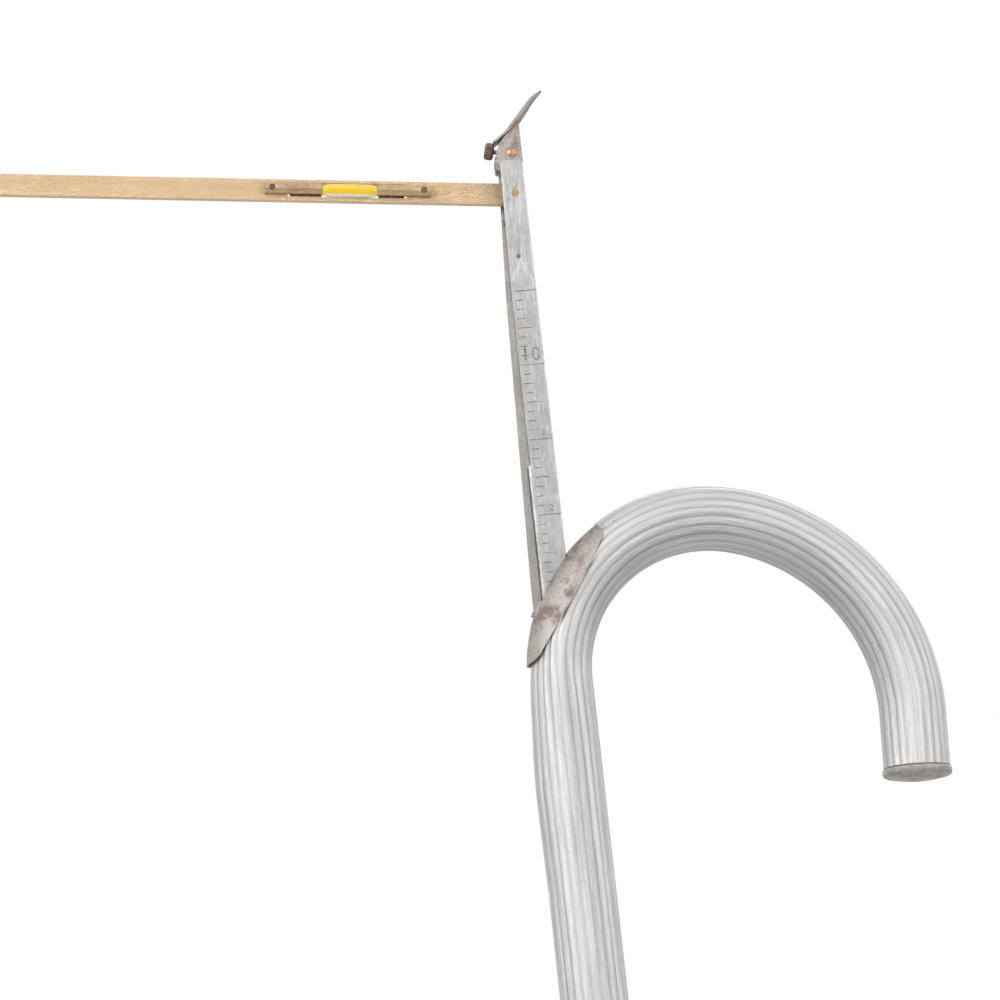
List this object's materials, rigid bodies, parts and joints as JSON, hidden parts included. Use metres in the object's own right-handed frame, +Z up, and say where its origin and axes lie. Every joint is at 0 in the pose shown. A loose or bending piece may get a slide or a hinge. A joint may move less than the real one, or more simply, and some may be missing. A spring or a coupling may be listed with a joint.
{
  "type": "horse measuring stick",
  "caption": "Crook-handled reeded aluminium cane with a pull-out graduated rule, a folding brass measuring arm with a spirit level, and a sprung cap catch.",
  "frame": {"origin": "centre of the ferrule's flat foot, on the ground", "axes": "+Z up along the cane and the rule, +X from the shaft towards the crook's open end, -X along the measuring arm, -Y towards the graduated face"},
  "size_m": [0.6189, 0.0246, 1.1438],
  "materials": {
    "reeded_aluminium": "satin, dull in the grooves",
    "turned_aluminium": "turned",
    "rule_aluminium": "satin",
    "worn_steel": "worn, with brown rust specks",
    "dark_steel": "blackened and ridged",
    "spring_steel": "bright",
    "plain_brass": "dull",
    "arm_brass": "scratched satin",
    "sleeve_brass": "dull, bright on the crest",
    "vial_glass": "clear with yellow spirit"
  },
  "bodies": {
    "cane": {"cane_tube": "reeded_aluminium", "crook_plug": "turned_aluminium", "saddle_plate": "worn_steel", "keeper_lug": "worn_steel", "guide_sleeve": "plain_brass", "ferrule_sleeve": "plain_brass", "ferrule_pin": "plain_brass", "ferrule_tip": "spring_steel"},
    "rule": {"rule_channel": "rule_aluminium", "rule_filler": "rule_aluminium", "filler_rivet_1": "rule_aluminium", "filler_rivet_2": "rule_aluminium", "filler_rivet_3": "rule_aluminium", "rule_tail_guide": "plain_brass", "tail_rivet_1": "plain_brass", "tail_rivet_2": "plain_brass", "tail_spring": "spring_steel", "head_bracket": "worn_steel", "head_rivet": "plain_brass", "cap_plate": "worn_steel", "catch_spring": "spring_steel", "arm_pin": "plain_brass", "arm_washer": "plain_brass", "arm_spring": "spring_steel", "arm_spring_rivet": "spring_steel"},
    "arm": {"arm_bar": "arm_brass", "level_sleeve_near": "sleeve_brass", "level_sleeve_far": "sleeve_brass", "level_vial": "vial_glass", "level_screw_near": "spring_steel", "level_screw_far": "spring_steel"},
    "catch": {"catch_lever": "worn_steel", "catch_knob": "dark_steel"}
  },
  "joints": [
    {"name": "rule_slide", "type": "slide", "parent": "cane", "child": "rule", "axis": [0, 0, 1], "range_m": [-0.1, 0.644]},
    {"name": "arm_hinge", "type": "hinge", "parent": "rule", "child": "arm", "pos_m": [0.00279, 0, 1.08762], "axis": [0, -1, 0], "range_deg": [0, 78]},
    {"name": "catch_press", "type": "hinge", "parent": "rule", "child": "catch", "pos_m": [0.0033, 0, 1.10205], "axis": [0, -1, 0], "range_deg": [0, 10], "stiffness_Nm_per_rad": 0.02, "springref_deg": -20.05}
  ]
}
